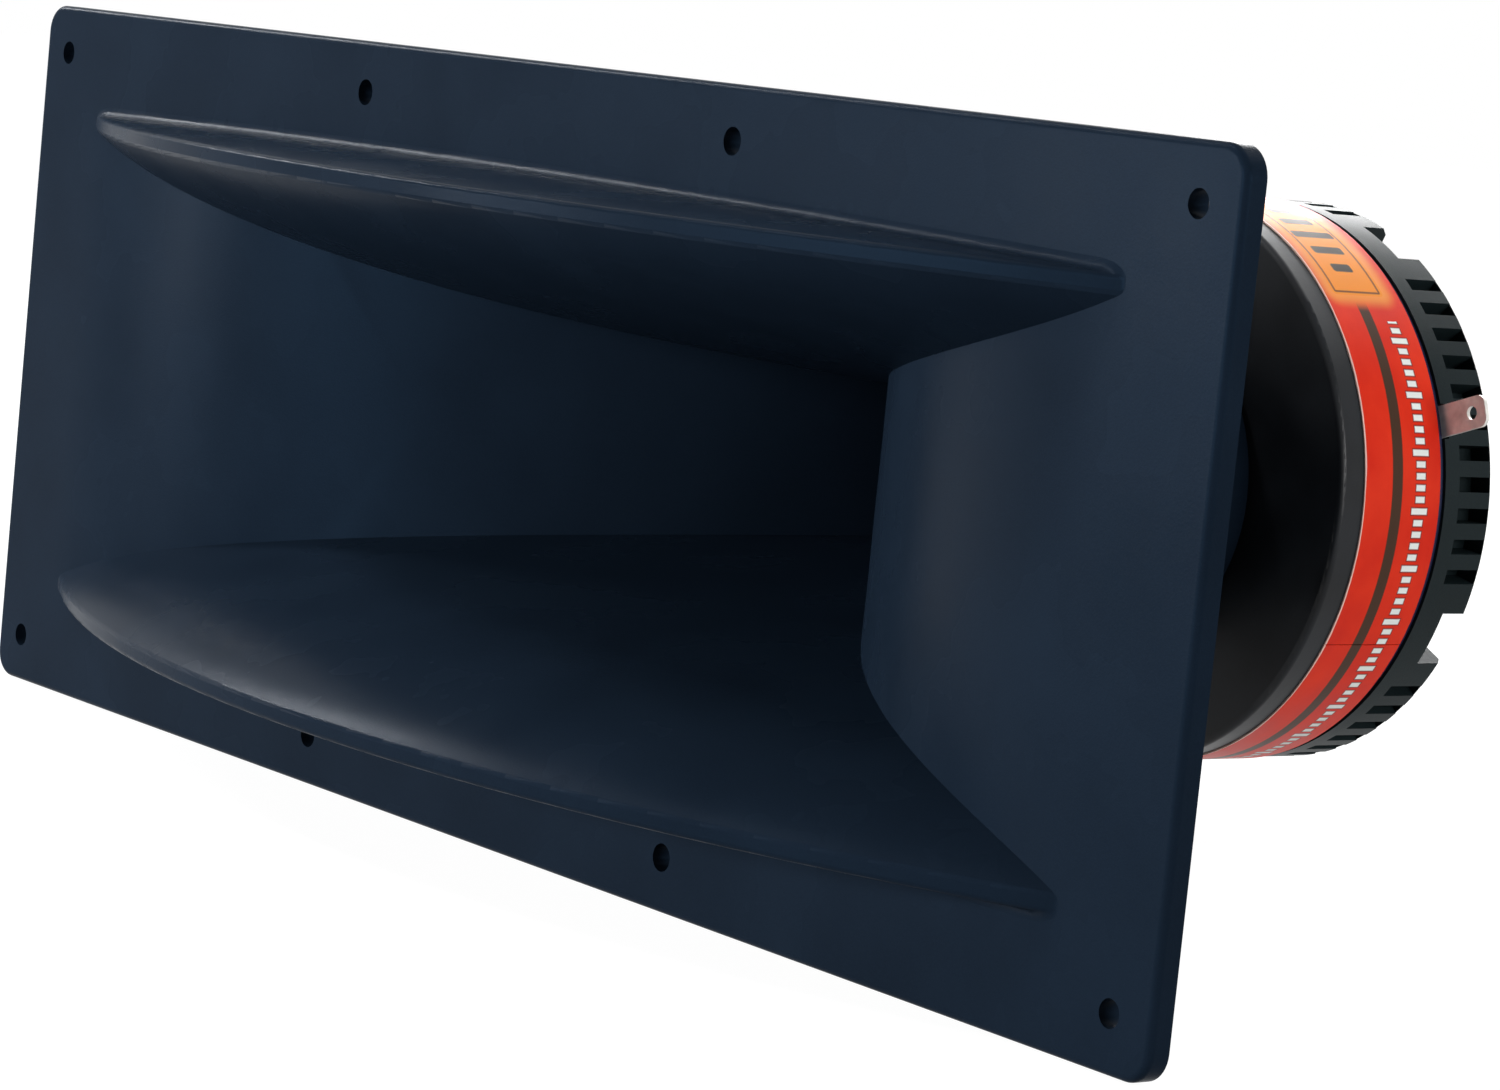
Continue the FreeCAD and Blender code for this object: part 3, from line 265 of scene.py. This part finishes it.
def add_badge(finish, colour, arc, across, badge):
    """A plain orange field with a glow about it, a thin rim line and a row of dark bars."""
    glow = finish.spread(badge, 0.0, BADGE_GLOW, 1.0, 0.0, smooth=True)
    colour = finish.mix(finish.math("MULTIPLY", glow, 0.5), colour, tint(255, 196, 84))
    colour = finish.mix(finish.inked(badge), colour, tint(240, 142, 30))
    rim = finish.inked(finish.from_middle(badge, -RIM_INSET), RIM_HALF)
    colour = finish.mix(rim, colour, tint(110, 60, 20))
    first = BADGE_ALONG - BAR_PITCH * (len(BAR_HALF_WIDTHS) - 1) / 2
    for index, half_width in enumerate(BAR_HALF_WIDTHS):
        bar = rounded_box(finish, arc, across, (first + index * BAR_PITCH, BADGE_ACROSS),
                          BAR_HALF_LENGTH, half_width, BAR_CORNER)
        colour = finish.mix(finish.inked(bar), colour, tint(40, 30, 22))
    return colour


def printed_band():
    """A red band with a stripe, graduation marks and a badge, and bare paper at its front edge."""
    finish = Finish("label_print", tint(222, 44, 20), 0.42, specular=0.8, IOR=LABEL_INDEX)
    x, y, z = finish.split()
    arc = finish.math("MULTIPLY", finish.math("ARCTAN2", z, x), BAND_RADIUS)
    across = finish.math("SUBTRACT", y, BAND_FRONT)
    blot = finish.noise(9 * MM, 4.0)
    speck = finish.noise(0.35 * MM, 2.0)
    badge = rounded_box(finish, arc, across, (BADGE_ALONG, BADGE_ACROSS),
                        BADGE_HALF_LENGTH, BADGE_HALF_WIDTH, BADGE_CORNER)

    colour = finish.mix(finish.spread(blot, 0.3, 0.7), tint(214, 38, 16), tint(230, 54, 26))
    colour = add_stripe(finish, colour, across, badge)
    colour = add_ticks(finish, colour, arc, across, badge)
    colour = add_badge(finish, colour, arc, across, badge)
    ragged = finish.math("ADD", across, finish.math("MULTIPLY", blot, 0.5 * MM))
    paper = finish.spread(ragged, *MARGIN, 1.0, 0.0)
    finish.paint(finish.mix(paper, colour, tint(236, 196, 184)))
    finish.gloss(finish.spread(blot, 0.3, 0.7, 0.36, 0.46))
    finish.bump((speck, 0.01 * MM), (blot, 0.05 * MM))
    return finish.material


# ------------------------------------------------------------------ finishes of the CAD nodes
def make_finishes():
    """One material for each material slot of the record."""
    return {
        "horn_black": moulded("horn_plastic", tint(17, 26, 37), tint(23, 34, 47),
                              0.26, 0.3 * MM, 0.02 * MM, 1.0,
                              IOR=HORN_INDEX, Specular_Tint=tint(120, 190, 255)),
        "cap_plastic": moulded("cap_plastic", tint(18, 25, 27), tint(28, 38, 40),
                               0.45, 0.35 * MM, 0.02 * MM, 0.8, IOR=CAP_INDEX),
        "carrier_plastic": moulded("carrier_plastic", tint(18, 24, 52), tint(26, 34, 68),
                                   0.42, 0.4 * MM, 0.015 * MM),
        "plug_plastic": moulded("plug_plastic", tint(26, 26, 27), tint(38, 38, 39),
                                0.5, 0.4 * MM, 0.015 * MM),
        "gasket_rubber": moulded("gasket_rubber", tint(20, 20, 20), tint(34, 34, 34),
                                 0.75, 0.5 * MM, 0.06 * MM),
        "foam": moulded("foam", tint(44, 44, 46), tint(74, 74, 76),
                        0.9, 0.7 * MM, 0.3 * MM),
        "screen_cloth": moulded("screen_cloth", tint(24, 24, 25), tint(40, 40, 42),
                                0.7, 0.3 * MM, 0.03 * MM),
        "ferrite": moulded("ferrite", tint(50, 50, 53), tint(72, 72, 75),
                           0.7, 0.6 * MM, 0.05 * MM),
        "polyimide": moulded("polyimide", tint(150, 84, 26), tint(176, 104, 38),
                             0.35, 0.8 * MM, 0.01 * MM),
        "black_plate": painted("black_plate", tint(17, 19, 22), tint(26, 29, 33), 0.36, 1.1 * MM),
        "black_screw": painted("black_screw", tint(22, 23, 25), tint(34, 35, 38), 0.32, 0.8 * MM),
        "plain_steel": metal("plain_steel", tint(150, 152, 156), tint(196, 198, 202), 0.34, 0.5 * MM),
        "titanium": metal("titanium", tint(160, 158, 156), tint(200, 198, 195), 0.3, 0.5 * MM),
        "copper_clad": metal("copper_clad", tint(176, 104, 62), tint(206, 134, 86), 0.32, 0.4 * MM),
        "tinned_tab": metal("tinned_tab", tint(196, 194, 188), tint(240, 238, 232), 0.42, 0.25 * MM,
                            (1, 6, 1), metallic=0.25),
        "label_print": printed_band(),
    }


def dress(finishes):
    """Gives each CAD node the finish of its material slot."""
    slots = {part["node"]: part["material_slot"] for part in frame["record"]["subparts"]}
    for name, node in frame["nodes"].items():
        node.data.materials.clear()
        node.data.materials.append(finishes[slots[name]])


# ------------------------------------------------------------------ floor, light and camera
def seen_directly(tree):
    """1 for camera, glossy and transmission rays, which see the white studio."""
    rays = tree.nodes.new("ShaderNodeLightPath")
    last = rays.outputs["Is Camera Ray"]
    for kind in ("Is Glossy Ray", "Is Transmission Ray"):
        both = tree.nodes.new("ShaderNodeMath")
        both.operation = "MAXIMUM"
        tree.links.new(last, both.inputs[0])
        tree.links.new(rays.outputs[kind], both.inputs[1])
        last = both.outputs[0]
    return last


def make_floor():
    bpy.ops.mesh.primitive_plane_add(size=FLOOR_SIZE, location=(0, 0, cad_low.z - FLOOR_GAP))
    floor = bpy.context.object
    floor.name = "studio_floor"
    material = bpy.data.materials.new("studio_floor")
    material.use_nodes = True
    tree = material.node_tree
    plain = tree.nodes["Principled BSDF"]
    plain.inputs["Base Color"].default_value = (FLOOR_GREY, FLOOR_GREY, FLOOR_GREY, 1)
    plain.inputs["Roughness"].default_value = 0.9
    plain.inputs["Specular IOR Level"].default_value = 0.0
    glow = tree.nodes.new("ShaderNodeEmission")
    glow.inputs["Strength"].default_value = FLOOR_GLOW
    mixed = tree.nodes.new("ShaderNodeMixShader")
    share = tree.nodes.new("ShaderNodeMath")
    share.operation = "MULTIPLY"
    share.inputs[1].default_value = FLOOR_GLOW_SHARE
    tree.links.new(seen_directly(tree), share.inputs[0])
    tree.links.new(share.outputs[0], mixed.inputs[0])
    tree.links.new(plain.outputs[0], mixed.inputs[1])
    tree.links.new(glow.outputs[0], mixed.inputs[2])
    tree.links.new(mixed.outputs[0], tree.nodes["Material Output"].inputs["Surface"])
    floor.data.materials.append(material)


def make_world():
    world = bpy.data.worlds.new("studio")
    bpy.context.scene.world = world
    world.use_nodes = True
    tree = world.node_tree
    back = tree.nodes["Background"]
    back.inputs["Color"].default_value = (1, 1, 1, 1)
    level = tree.nodes.new("ShaderNodeMapRange")
    level.inputs["To Min"].default_value = ROOM_LIGHT
    level.inputs["To Max"].default_value = 1.0
    tree.links.new(seen_directly(tree), level.inputs["Value"])
    tree.links.new(level.outputs[0], back.inputs["Strength"])


def turned(*degrees):
    return Euler([math.radians(angle) for angle in degrees])


def add_object(name, data, place, turn):
    """Puts a lamp or the camera into the scene."""
    made = bpy.data.objects.new(name, data)
    bpy.context.scene.collection.objects.link(made)
    made.location = place
    made.rotation_euler = turn
    return made


def softbox(name, place, target, size, power):
    """A rectangular lamp that faces target."""
    lamp = bpy.data.lights.new(name, "AREA")
    lamp.shape = "RECTANGLE"
    lamp.size, lamp.size_y = size
    lamp.energy = power
    facing = Vector(target) - Vector(place)
    add_object(name, lamp, place, facing.to_track_quat("-Z", "Y").to_euler())


def make_lights():
    softbox("key", (-0.10, -1.25, 0.12), (0, 0, 0), (0.5, 0.4), 15)
    softbox("sheen", (-0.75, -0.95, -0.05), (0, 0, 0), (0.3, 0.5), 12)
    softbox("edge", (-1.25, -0.20, 0.72), (0, 0, 0), (0.1, 0.5), 11)
    softbox("edge_high", (-0.57, -0.55, 1.16), (0, 0, 0), (0.3, 0.08), 5)
    softbox("label_fill", (0.95, 0.30, 0.15), DRIVER, (0.5, 0.2), 5)
    softbox("back_fill", (-0.55, 1.10, 0.50), (0, 0.1, 0), (0.8, 0.5), 14)
    sky = bpy.data.lights.new("sky", "SUN")
    sky.energy = 1.2
    sky.angle = math.radians(50)
    add_object("sky", sky, (0, 0, 0), turned(-25, 0, -20))


def make_camera():
    lens = bpy.data.cameras.new("camera")
    lens.lens, lens.sensor_width = FOCAL_LENGTH, SENSOR_WIDTH
    lens.clip_start = 0.05
    bpy.context.scene.camera = add_object("camera", lens, CAMERA_PLACE, turned(*CAMERA_TURN))


bpy.context.scene.view_settings.view_transform = "Standard"
dress(make_finishes())
make_floor()
make_world()
make_lights()
make_camera()
